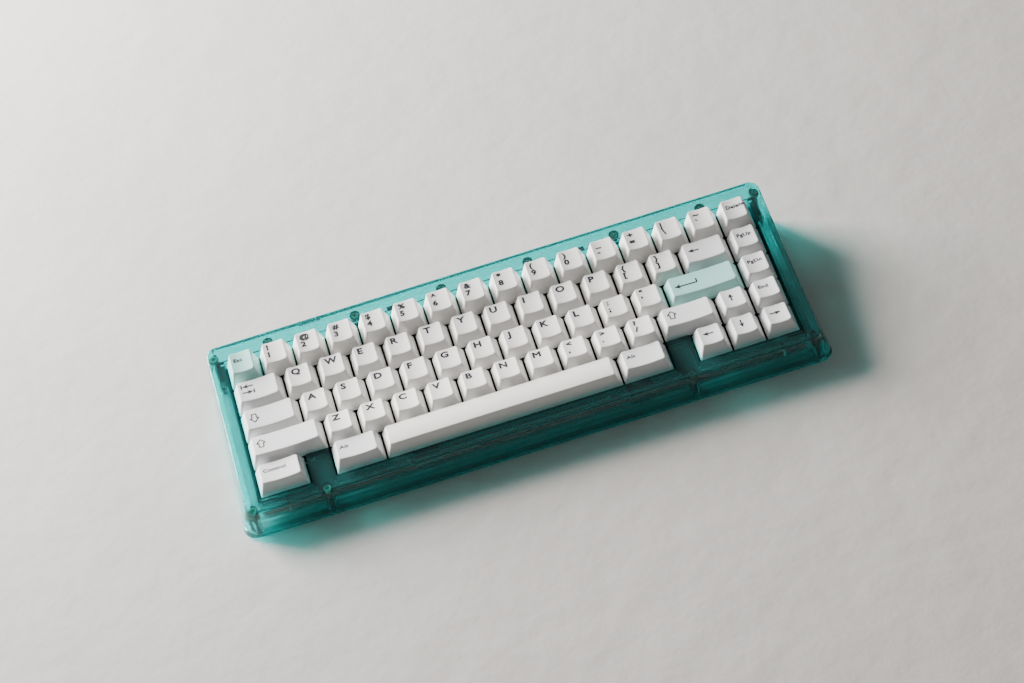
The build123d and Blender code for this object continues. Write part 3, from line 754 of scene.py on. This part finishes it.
    def build(self, name: str) -> bpy.types.Object:
        """Make the cap's closed shell and its stem post.

        Args:
            name: name of the object.

        Returns:
            The object, in metres round the cap's own middle.
        """
        loops = self.outer_loops()[::-1] + self.inner_loops()[::-1]
        count = len(loops[0])
        verts = [Vector(point) * MM for ring in loops for point in ring]
        faces = []
        for row in range(len(loops) - 1):
            for step in range(count):
                after = (step + 1) % count
                a, b = row * count, (row + 1) * count
                faces.append((a + step, b + step, b + after, a + after))
        faces.append(tuple((len(loops) - 1) * count + step for step in range(count)))
        made = mesh_object(name, verts, faces)
        shell = bmesh.new()
        shell.from_mesh(made.data)
        bmesh.ops.remove_doubles(shell, verts=shell.verts, dist=WELD)
        bmesh.ops.recalc_face_normals(shell, faces=shell.faces)
        top = self.plane_z(0) - self.dish - self.roof / 2
        bmesh.ops.create_cone(
            shell, cap_ends=True, segments=self.post_sides, radius1=self.post * MM,
            radius2=self.post * MM, depth=(top - self.post_foot) * MM,
            matrix=Matrix.Translation((0, 0, (top + self.post_foot) / 2 * MM)),
        )
        shell.to_mesh(made.data)
        shell.free()
        soften(made.data)
        return made


@dataclass
class Legend:
    """Lettering or drawn marks on one cap, laid on the dished top."""

    size: float = 4.8
    letter_size: float = 5.6
    word_size: float = 3.3
    thick: float = 0.07
    bold: float = 0.045
    stretch: float = 1.12
    slab_length: float = 2.2
    sunk: float = 0.15
    margin: float = 1.9

    def glyph(self, text: str, size: float, x: float, y: float, centred: bool) -> tuple:
        """Letter shapes as a closed mesh.

        Args:
            text: the characters.
            size: height of the font, in millimetres.
            x: X of the left edge or the middle.
            y: Y of the baseline.
            centred: whether X is the middle.

        Returns:
            Vertices in millimetres and faces.
        """
        curve = bpy.data.curves.new("glyph", "FONT")
        curve.body = text
        curve.size = size
        curve.extrude = 0.5
        curve.bevel_depth = self.bold * size * min(1.0, size / self.size)
        curve.bevel_resolution = 0
        curve.resolution_u = 3
        curve.space_character = 1.06
        holder = linked("glyph", curve)
        graph = bpy.context.evaluated_depsgraph_get()
        mesh = bpy.data.meshes.new_from_object(holder.evaluated_get(graph))
        lows = min(v.co.x for v in mesh.vertices)
        highs = max(v.co.x for v in mesh.vertices)
        shift = x - (lows + highs) / 2 if centred else x - lows
        verts = [((v.co.x + shift - x) * self.stretch + x, v.co.y + y, v.co.z) for v in mesh.vertices]
        faces = [tuple(p.vertices) for p in mesh.polygons]
        bpy.data.objects.remove(holder)
        bpy.data.meshes.remove(mesh)
        bpy.data.curves.remove(curve)
        return verts, faces

    @staticmethod
    def slab(outline: list) -> tuple:
        """Closed flat slab over an outline.

        Args:
            outline: X and Y of each corner.

        Returns:
            Vertices and faces.
        """
        count = len(outline)
        verts = [(x, y, 0.5) for x, y in outline] + [(x, y, -0.5) for x, y in outline]
        faces = [tuple(range(count)), tuple(range(2 * count - 1, count - 1, -1))]
        for step in range(count):
            after = (step + 1) % count
            faces.append((step, count + step, count + after, after))
        return verts, faces

    def stroke(self, start: tuple, end: tuple, thick: float = 0.8) -> list:
        """Straight line as a row of short slabs that can follow the dish.

        Args:
            start: X and Y of one end.
            end: X and Y of the other end.
            thick: width of the line.

        Returns:
            The slabs.
        """
        length = math.hypot(end[0] - start[0], end[1] - start[1])
        ux, uy = (end[0] - start[0]) / length, (end[1] - start[1]) / length
        nx, ny = -uy * thick / 2, ux * thick / 2
        pieces = max(1, round(length / self.slab_length))
        slabs = []
        for step in range(pieces):
            a = length * step / pieces
            b = length * (step + 1) / pieces
            ax, ay = start[0] + ux * a, start[1] + uy * a
            bx, by = start[0] + ux * b, start[1] + uy * b
            slabs.append(self.slab([(ax - nx, ay - ny), (bx - nx, by - ny), (bx + nx, by + ny),
                                    (ax + nx, ay + ny)]))
        return slabs

    def arrow(self, tail: tuple, tip: tuple, head: float = 3.3) -> list:
        """Line with a filled swept head.

        Args:
            tail: X and Y of the plain end.
            tip: X and Y of the point.
            head: length of the head.

        Returns:
            The slabs.
        """
        length = math.hypot(tip[0] - tail[0], tip[1] - tail[1])
        ux, uy = (tip[0] - tail[0]) / length, (tip[1] - tail[1]) / length
        back = (tip[0] - ux * head, tip[1] - uy * head)
        notch = (tip[0] - ux * head * 0.72, tip[1] - uy * head * 0.72)
        half = head * 0.45
        wing_a = (back[0] - uy * half, back[1] + ux * half)
        wing_b = (back[0] + uy * half, back[1] - ux * half)
        return self.stroke(tail, notch) + [self.slab([tip, wing_a, notch]), self.slab([tip, notch, wing_b])]

    def hollow_arrow(self, x: float, y: float, size: float, up: bool) -> list:
        """Outlined block arrow.

        Args:
            x: X of the middle.
            y: Y of the middle.
            size: height of the arrow.
            up: whether it points to the rear.

        Returns:
            The slabs.
        """
        flip = 1 if up else -1
        corners = [(0, 1), (0.75, 0.15), (0.38, 0.15), (0.38, -0.75), (-0.38, -0.75), (-0.38, 0.15),
                   (-0.75, 0.15)]
        places = [(x + a * size / 2, y + flip * b * size / 2) for a, b in corners]
        slabs = []
        for start, end in zip(places, places[1:] + places[:1]):
            slabs += self.stroke(start, end, 0.62)
        return slabs

    def drawn(self, mark: Mark, left: float, cap: Keycap) -> list:
        """Slabs of a drawn mark.

        Args:
            mark: which mark.
            left: X of the legend's left edge.
            cap: the cap it lies on.

        Returns:
            Vertices and faces of each slab.
        """
        y = cap.middle_y + 1.0
        if mark is Mark.LEFT:
            return self.arrow((left + 6.2, y), (left, y))
        if mark is Mark.RIGHT:
            return self.arrow((left, y), (left + 6.2, y))
        if mark is Mark.UP:
            return self.arrow((left + 3.0, y - 3.0), (left + 3.0, y + 2.8))
        if mark is Mark.DOWN:
            return self.arrow((left + 3.0, y + 2.8), (left + 3.0, y - 3.0))
        if mark is Mark.TAB:
            rows = self.arrow((left + 6.6, y + 2.2), (left + 0.5, y + 2.2))
            rows += self.stroke((left, y + 0.8), (left, y + 3.6))
            rows += self.arrow((left, y - 2.0), (left + 6.1, y - 2.0))
            return rows + self.stroke((left + 6.6, y - 3.4), (left + 6.6, y - 0.6))
        if mark is Mark.RETURN:
            rows = self.arrow((left + 13.0, y - 1.6), (left, y - 1.6), 3.6)
            return rows + self.stroke((left + 12.85, y - 1.6), (left + 12.85, y + 1.1))
        if mark is Mark.SHIFT:
            return self.hollow_arrow(left + 2.7, y - 0.4, 6.6, True)
        return self.hollow_arrow(left + 2.7, y - 0.4, 6.6, False)

    def shapes(self, key: "Key", cap: Keycap) -> list:
        """All the shapes of one key's legend, flat and round the cap's middle.

        Args:
            key: the key.
            cap: its cap.

        Returns:
            Vertices and faces of each shape.
        """
        left = -cap.top_x / 2 + self.margin
        if isinstance(key.legend, Mark):
            return self.drawn(key.legend, left, cap)
        if key.word:
            return [self.glyph(key.legend, self.word_size, left - 0.2, cap.middle_y + 0.4, False)]
        if len(key.legend) == 1:
            return [self.glyph(key.legend, self.letter_size, left, cap.rear - 5.6, False)]
        lower, upper = key.legend
        return [
            self.glyph(upper, self.size, left + 0.1, cap.rear - 4.9, False),
            self.glyph(lower, self.size, left + 0.1, cap.rear - 9.9, False),
        ]


@dataclass
class Key:
    """One key of the layout."""

    name: str
    width: float
    profile: Profile
    tone: Tone
    legend: object
    word: bool = False
    x: float = 0.0
    y: float = 0.0


SYMBOLS = {
    "minus": "-_", "equals": "=+", "backslash": "\\|", "grave": "`~", "left_bracket": "[{",
    "right_bracket": "]}", "semicolon": ";:", "quote": "'\"", "comma": ",<", "period": ".>",
    "slash": "/?", "1": "1!", "2": "2@", "3": "3#", "4": "4$", "5": "5%", "6": "6^", "7": "7&",
    "8": "8*", "9": "9(", "0": "0)",
}

WORDS = {
    "left_control": "Control", "left_alt": "Alt", "right_alt": "Alt", "delete": "Delete",
    "page_up": "PgUp", "page_down": "PgDn", "end": "End", "escape": "Esc",
}

DRAWN = {
    "left_arrow": Mark.LEFT, "right_arrow": Mark.RIGHT, "up_arrow": Mark.UP, "down_arrow": Mark.DOWN,
    "tab": Mark.TAB, "backspace": Mark.LEFT, "enter": Mark.RETURN, "left_shift": Mark.SHIFT,
    "right_shift": Mark.SHIFT, "caps_lock": Mark.LOCK,
}

ROWS = (
    (Profile.LOWER, "left_control:1.5 -:0.75 left_alt:1.5 space:7 right_alt:1.5 -:0.75 left_arrow:1 "
                    "down_arrow:1 right_arrow:1"),
    (Profile.LOWER, "left_shift:2.25 z x c v b n m comma period slash right_shift:1.75 up_arrow end"),
    (Profile.HOME, "caps_lock:1.75 a s d f g h j k l semicolon quote enter:2.25 page_down"),
    (Profile.UPPER, "tab:1.5 q w e r t y u i o p left_bracket right_bracket backspace:1.5 page_up"),
    (Profile.NUMBER, "escape 1 2 3 4 5 6 7 8 9 0 minus equals backslash grave delete"),
)

GROUPS = {
    "number_row_keys": set("1234567890") | {"minus", "equals", "backslash", "grave"},
    "punctuation_keys": {"left_bracket", "right_bracket", "semicolon", "quote", "comma", "period",
                         "slash"},
    "navigation_keys": {"delete", "page_up", "page_down", "end", "left_arrow", "down_arrow",
                        "right_arrow", "up_arrow"},
}


@dataclass
class KeySet:
    """All the keycaps with their legends and stems."""

    shop: Workshop
    deck: Deck
    legend: Legend = field(default_factory=Legend)
    mint_keys: tuple = ("escape", "enter")
    stem_reach: float = 5.0
    cap_finish: dict = field(
        default_factory=lambda: {Tone.CREAM: "cap_cream", Tone.GREY: "cap_grey", Tone.MINT: "cap_mint"}
    )

    def layout(self) -> list:
        """Every key with its place on the deck.

        Returns:
            The keys, row by row.
        """
        keys = []
        for row, (profile, text) in enumerate(ROWS):
            start = -self.deck.columns / 2
            for entry in text.split():
                name, _, size = entry.partition(":")
                width = float(size or 1)
                if name != "-":
                    key = self.describe(name, width, profile)
                    key.x = (start + width / 2) * self.deck.pitch
                    key.y = (row + 0.5) * self.deck.pitch
                    keys.append(key)
                start += width
        return keys

    def describe(self, name: str, width: float, profile: Profile) -> Key:
        """Tone and legend of a key.

        Args:
            name: name of the key.
            width: width in key units.
            profile: sculpt of its row.

        Returns:
            The key, not yet placed.
        """
        tone = Tone.CREAM
        if name in self.mint_keys:
            tone = Tone.MINT
        elif name in WORDS or name in DRAWN:
            tone = Tone.GREY
        legend = SYMBOLS.get(name) or WORDS.get(name) or DRAWN.get(name)
        if name == "space":
            legend = None
        elif legend is None:
            legend = name.upper()
        return Key(name, width, profile, tone, legend, name in WORDS)

    def node_of(self, key: Key) -> str:
        """CAD node that a key belongs to.

        Args:
            key: the key.

        Returns:
            The node's name.
        """
        for group, members in GROUPS.items():
            if key.name in members:
                return group
        return "key_" + key.name

    def stems(self, node: str) -> bpy.types.Object:
        """Copy of a key node's stems, without its caps.

        Args:
            node: name of the CAD node.

        Returns:
            The copy.
        """
        copy = self.shop.welded(node, node + "_stems")
        shell = bmesh.new()
        shell.from_mesh(copy.data)
        left = set(shell.verts)
        drop = []
        while left:
            island = {left.pop()}
            waiting = list(island)
            while waiting:
                vert = waiting.pop()
                for edge in vert.link_edges:
                    other = edge.other_vert(vert)
                    if other in left:
                        left.discard(other)
                        island.add(other)
                        waiting.append(other)
            if max(self.deck.flat(vert.co).z for vert in island) > self.stem_reach:
                drop += island
        bmesh.ops.delete(shell, geom=drop, context="VERTS")
        shell.to_mesh(copy.data)
        shell.free()
        soften(copy.data)
        copy.data.materials.append(self.shop.finishes["stem_plastic"])
        return copy

    def join(self, name: str, parts: list) -> bpy.types.Object:
        """Join objects into one.

        Args:
            name: name of the result.
            parts: objects to join, the first of which stays.

        Returns:
            The joined object.
        """
        bpy.ops.object.select_all(action="DESELECT")
        for part in parts:
            part.select_set(True)
        bpy.context.view_layer.objects.active = parts[0]
        bpy.ops.object.join()
        parts[0].name = name
        parts[0].data.name = name
        return parts[0]

    def legend_mesh(self, node: str, keys: list, caps: dict) -> "bpy.types.Object | None":
        """Lettering of a node's keys, following the dished tops.

        Args:
            node: name of the CAD node.
            keys: the keys of the node.
            caps: the cap of each key, by name.

        Returns:
            The object, or None if the keys are blank.
        """
        verts = []
        faces = []
        for key in keys:
            if key.legend is None:
                continue
            cap = caps[key.name]
            for points, polygons in self.legend.shapes(key, cap):
                first = len(verts)
                for x, y, side in points:
                    z = cap.surface_z(x, y) + (self.legend.thick if side > 0 else -self.legend.sunk)
                    verts.append(self.deck.place(key.x + x, key.y + y, z))
                faces += [tuple(first + number for number in face) for face in polygons]
        if not verts:
            return None
        made = mesh_object("legend_" + node, verts, faces)
        shell = bmesh.new()
        shell.from_mesh(made.data)
        bmesh.ops.triangulate(shell, faces=[f for f in shell.faces if len(f.verts) > 4])
        bmesh.ops.recalc_face_normals(shell, faces=shell.faces)
        shell.to_mesh(made.data)
        shell.free()
        made.data.materials.append(self.shop.finishes["legend_ink"])
        return made

    def build(self) -> None:
        """Make every cap, legend and stem, one piece for each body."""
        nodes = {}
        for key in self.layout():
            nodes.setdefault(self.node_of(key), []).append(key)
        for node, keys in nodes.items():
            caps = {k.name: Keycap(k.width, k.profile, k.name == "space") for k in keys}
            kinds = {}
            for key in keys:
                kinds.setdefault((key.width, key.profile, key.tone), []).append(key)
            parts = []
            for (width, profile, tone), members in kinds.items():
                shape = caps[members[0].name].build("cap_shape")
                places = [self.deck.place(k.x, k.y, 0.0) for k in members]
                finish = self.cap_finish[tone]
                parts.append(self.shop.repeat(node + "_caps", shape, places, finish, self.deck.angle))
            parts.append(self.stems(node))
            self.shop.settle(self.join("caps_" + node, parts), node)
            legend = self.legend_mesh(node, keys, caps)
            if legend is not None:
                self.shop.settle(legend, node, stands_for=False)


# ---------------------------------------------------------------- case and inner parts


@dataclass
class Case:
    """Translucent shell, tray, feet, inserts, screws and gaskets."""

    shop: Workshop
    deck: Deck
    knurl_teeth: int = 24
    knurl_radius: float = 2.18
    knurl_depth: float = 0.3
    tooth_width: float = 0.6
    band_share: float = 0.38
    band_start: float = 0.22
    band_gap: float = 0.56
    insert_length: float = 4.5
    cover: float = 3.2
    bezel_top: float = 2.4
    rear_pitch: float = 50.6
    rear_step: float = 6.85
    corner_side: float = 5.9
    corner_front: float = 5.0
    corner_rear: float = 6.6
    front_step: float = 5.1
    blockers: tuple = (-6.125, 4.625)

    def build(self) -> None:
        """Dress the case and what fastens it."""
        pieces = (
            ("top_case", "case_shell_clear", "case_clear"),
            ("bottom_case", "case_tray_clear", "tray_clear"),
            ("rubber_feet", "feet_rubber", "rubber_black"),
            ("gasket_strips", "gaskets_foam", "foam_black"),
            ("case_screws", "screws_dark", "screw_dark_and_knurl_shade"),
            ("threaded_inserts", "inserts_turned", "insert_brass"),
        )
        for node, name, finish in pieces:
            self.shop.refine(node, name, finish)
        self.knurls()

    def insert_tops(self) -> list:
        """Find the middle of the top face of every insert.

        Returns:
            Places in the row frame, in metres.
        """
        half = self.deck.columns * self.deck.pitch / 2
        rear = 5 * self.deck.pitch
        spots = [(step * self.rear_pitch / 2, rear + self.rear_step) for step in (-5, -3, -1, 1, 3, 5)]
        for side in (-1, 1):
            spots.append((side * (half + self.corner_side), rear + self.corner_rear))
            spots.append((side * (half + self.corner_side), -self.corner_front))
        spots += [(blocker * self.deck.pitch, -self.front_step) for blocker in self.blockers]
        tops = []
        for x, y in spots:
            face = self.deck.place(x, y, self.bezel_top)
            tops.append(face - Vector((0, 0, self.cover * MM)))
        return tops

    def knurls(self) -> None:
        """Knurled bands round the inserts, coloured dark as painted shade: the dark ring that shade in the
        knurling gives.
        """
        low, high = self.knurl_radius * MM, (self.knurl_radius + self.knurl_depth) * MM
        half = math.pi * self.knurl_radius / self.knurl_teeth * self.tooth_width * MM
        band = self.insert_length * self.band_share * MM
        corners = []
        for z in (-band / 2, band / 2):
            corners += [(low, -half, z), (high, 0.0, z), (low, half, z)]
        faces = [(2, 1, 0), (3, 4, 5), (0, 1, 4, 3), (1, 2, 5, 4), (2, 0, 3, 5)]
        shape = mesh_object("tooth_shape", corners, faces)
        places = []
        step = 2 * math.pi / self.knurl_teeth
        for top in self.insert_tops():
            for band_number in range(2):
                drop = (self.band_start + self.band_gap * band_number) * self.insert_length * MM
                places += [top - Vector((0, 0, drop))] * self.knurl_teeth
        # painted shade: the knurl teeth take the dark screw colour so the inserts show a dark ring
        knurl = self.shop.repeat("insert_knurls", shape, places, "screw_dark_and_knurl_shade", turn_step=step)
        self.shop.settle(knurl, "threaded_inserts", stands_for=False)


@dataclass
class Deckware:
    """Plate, board, switches and stabilizers."""

    shop: Workshop

    def build(self) -> None:
        """Dress the plate, the board and everything mounted on them."""
        looks = (
            ("switch_plate", "plate_black"),
            ("circuit_board", "board_black"),
            ("board_components", "chip_black"),
            ("switch_lower_housings", "housing_dark"),
            ("switch_upper_housings", "housing_dark"),
            ("stabilizer_housings", "housing_dark"),
            ("switch_contacts", "leaf_bronze"),
            ("switch_springs", "spring_steel"),
        )
        for node, finish in looks:
            self.shop.dress(node, finish)
        for name in ("enter", "left_shift", "space"):
            node = "stabilizer_wire_" + name
            self.shop.refine(node, node + "_bent", "wire_steel")


@dataclass
class Inlet:
    """USB inlet: connector, its contact pads, daughterboard and ribbon cable."""

    shop: Workshop
    pads: int = 12
    pad_pitch: float = 0.5
    pad_width: float = 0.28
    pad_length: float = 4.0
    pad_height: float = 0.04
    pad_setback: float = 3.4
    pad_side: float = 0.35

    def build(self) -> None:
        """Dress the inlet and lay the gold pads on its tongue."""
        self.shop.refine("usb_connector", "connector_shell", "shell_steel")
        self.shop.dress("usb_daughterboard", "board_black")
        self.shop.dress("ribbon_cable", "ribbon_cream")
        low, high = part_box("usb_connector")
        middle = (low + high) / 2
        half = Vector((self.pad_width, self.pad_length, self.pad_height)) * MM / 2
        corners = [(sx * half.x, sy * half.y, sz * half.z)
                   for sz in (-1, 1) for sx, sy in ((-1, -1), (1, -1), (1, 1), (-1, 1))]
        faces = [(3, 2, 1, 0), (4, 5, 6, 7), (0, 1, 5, 4), (1, 2, 6, 5), (2, 3, 7, 6), (3, 0, 4, 7)]
        shape = mesh_object("pad_shape", corners, faces)
        start = middle.x - (self.pads - 1) / 2 * self.pad_pitch * MM
        rear = high.y - self.pad_setback * MM
        places = []
        for step in range(self.pads):
            for side in (-1, 1):
                x = start + step * self.pad_pitch * MM
                places.append((x, rear, middle.z + side * self.pad_side * MM))
        pads = self.shop.repeat("connector_pads", shape, places, "pad_gold")
        self.shop.settle(pads, "usb_connector", stands_for=False)


# ---------------------------------------------------------------- room


@dataclass
class Studio:
    """Floor, soft light and camera."""

    deck: Deck
    floor_size: float = 6.0
    eye: tuple = (-58.75, -907.22, 1254.08)
    right: tuple = (0.95388, -0.25915, -0.15153)
    up: tuple = (0.29768, 0.75130, 0.58901)
    focal: float = 101.19
    film: float = 36.0
    floor_colour: tuple = (0.54, 0.512, 0.488)
    floor_tones: tuple = (0.90, 1.07)
    floor_roughness: float = 0.85
    trowel_strength: float = 0.5
    trowel_depth: float = 0.002
    window_place: tuple = (-0.85, 0.88, 0.54)
    window_size: float = 0.7
    window_power: float = 98.0
    sky: tuple = (0.69, 0.665, 0.64)
    sky_strength: float = 0.23

    def floor(self) -> None:
        """Pale, faintly trowelled floor."""
        half = self.floor_size / 2
        ground = mesh_object("floor", [(-half, -half, 0), (half, -half, 0), (half, half, 0),
                                       (-half, half, 0)], [(0, 1, 2, 3)])
        material = bpy.data.materials.new("floor_plaster")
        material.use_nodes = True
        tree = material.node_tree
        shader = tree.nodes["Principled BSDF"]
        place = tree.nodes.new("ShaderNodeTexCoord").outputs["Object"]
        ramp = tree.nodes.new("ShaderNodeMapRange")
        preset(ramp, To_Min=self.floor_tones[0], To_Max=self.floor_tones[1])
        tree.links.new(noise(tree, place, 9.0, 6.0), ramp.inputs["Value"])
        tone = tree.nodes.new("ShaderNodeHueSaturation")
        preset(tone, Color=(*self.floor_colour, 1))
        tree.links.new(ramp.outputs[0], tone.inputs["Value"])
        tree.links.new(tone.outputs["Color"], shader.inputs["Base Color"])
        bump = tree.nodes.new("ShaderNodeBump")
        preset(bump, Strength=self.trowel_strength, Distance=self.trowel_depth)
        tree.links.new(noise(tree, place, 35.0, 8.0), bump.inputs["Height"])
        tree.links.new(bump.outputs["Normal"], shader.inputs["Normal"])
        preset(shader, Roughness=self.floor_roughness)
        ground.data.materials.append(material)

    def light(self) -> None:
        """One large window on the far left, and a dim even sky."""
        lamp = bpy.data.lights.new("window", "AREA")
        lamp.energy = self.window_power
        lamp.size = self.window_size
        lamp.color = (1.0, 0.985, 0.97)
        window = linked("window", lamp)
        window.location = self.window_place
        window.rotation_euler = (-Vector(self.window_place)).to_track_quat("-Z", "Y").to_euler()
        world = bpy.data.worlds.new("sky")
        world.use_nodes = True
        preset(world.node_tree.nodes["Background"], Color=(*self.sky, 1), Strength=self.sky_strength)
        bpy.context.scene.world = world

    def camera(self) -> None:
        """Long lens, high in front of the keyboard and rolled a little."""
        lens = bpy.data.cameras.new("camera")
        lens.lens = self.focal
        lens.sensor_width = self.film
        lens.sensor_fit = "HORIZONTAL"
        lens.clip_end = 50.0
        view = linked("camera", lens)
        right = self.deck.turn(*self.right).normalized()
        up = self.deck.turn(*self.up).normalized()
        back = right.cross(up).normalized()
        up = back.cross(right)
        turn = Matrix((right, up, back)).transposed().to_4x4()
        view.matrix_world = Matrix.Translation(self.deck.place(*self.eye)) @ turn
        bpy.context.scene.camera = view

    def build(self) -> None:
        """Set up the room."""
        self.floor()
        self.light()
        self.camera()


def main() -> None:
    """Build every piece in order."""
    logging.basicConfig(level=logging.INFO, format="%(message)s")
    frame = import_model()
    groups = {"moulded_grain": moulded_grain(), "colour_drift": colour_drift()}
    finishes = {finish.name: finish.build(groups) for finish in FINISHES}
    shop = Workshop(frame, finishes, place_tree())
    deck = Deck()
    KeySet(shop, deck).build()
    Case(shop, deck).build()
    Deckware(shop).build()
    Inlet(shop).build()
    Studio(deck).build()


if __name__ == "__main__":
    main()
